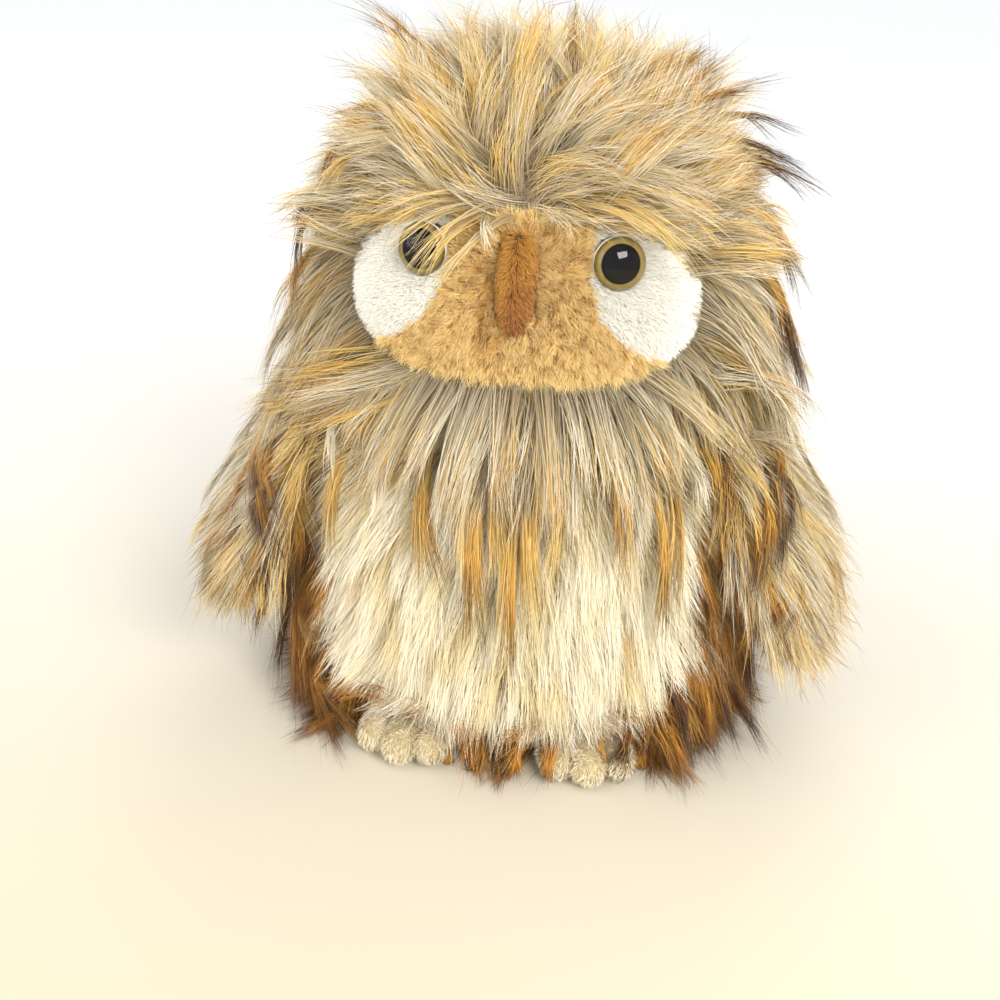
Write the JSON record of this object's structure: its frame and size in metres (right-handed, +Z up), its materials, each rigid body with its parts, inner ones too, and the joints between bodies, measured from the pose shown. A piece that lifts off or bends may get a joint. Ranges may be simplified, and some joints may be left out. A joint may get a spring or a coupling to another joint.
{
  "type": "plush owl",
  "caption": "Upright stuffed owl of long fake fur with a cream belly, round glossy eyes, a stuffed beak, small feet and wings that lift at the shoulder seams.",
  "frame": {"origin": "middle of the underside of the base panel, on the surface that the owl sits on", "axes": "+Z up, the owl looks along -Y, its left side is +X"},
  "size_m": [0.2664, 0.1976, 0.2737],
  "materials": {
    "fur_taupe": "long pile, taupe at the root and golden towards the tip",
    "fur_brown": "long pile, amber brown with dark tips",
    "fur_cream": "long pile, cream",
    "plush_white": "short dense pile",
    "plush_tan": "short curly pile",
    "plush_beak": "short combed pile",
    "plush_foot": "short pile",
    "base_cloth": "woven",
    "bag_cloth": "woven",
    "stuffing": "loose polyester fibre",
    "eye_clear": "clear, polished",
    "eye_paint": "painted behind the clear dome",
    "washer": "moulded"
  },
  "bodies": {
    "root": {"base_panel": "base_cloth", "pellet_bag": "bag_cloth", "body_stuffing": "stuffing", "belly_panel": "fur_cream", "left_back_panel": "fur_brown", "right_back_panel": "fur_brown", "head_stuffing": "stuffing", "ruff_panel": "fur_taupe", "left_crown_panel": "fur_taupe", "right_crown_panel": "fur_taupe", "left_white_patch": "plush_white", "right_white_patch": "plush_white", "left_tan_patch": "plush_tan", "right_tan_patch": "plush_tan", "beak_cover": "plush_beak", "beak_stuffing": "stuffing", "left_eye_lens": "eye_clear", "left_eye_plate": "eye_paint", "left_eye_washer": "washer", "left_foot_cover": "plush_foot", "left_foot_stuffing": "stuffing", "right_eye_lens": "eye_clear", "right_eye_plate": "eye_paint", "right_eye_washer": "washer", "right_foot_cover": "plush_foot", "right_foot_stuffing": "stuffing"},
    "left_wing": {"left_wing_outer_panel": "fur_taupe", "left_wing_lining_panel": "fur_brown", "left_wing_stuffing": "stuffing"},
    "right_wing": {"right_wing_outer_panel": "fur_taupe", "right_wing_lining_panel": "fur_brown", "right_wing_stuffing": "stuffing"}
  },
  "joints": [
    {"name": "left_wing_lift", "type": "hinge", "parent": "root", "child": "left_wing", "pos_m": [0.07678, -0.0266, 0.14], "axis": [-0.309, -0.9511, 0], "range_deg": [0, 60]},
    {"name": "right_wing_lift", "type": "hinge", "parent": "root", "child": "right_wing", "pos_m": [-0.07678, -0.0266, 0.14], "axis": [-0.309, 0.9511, 0], "range_deg": [0, 60]}
  ]
}
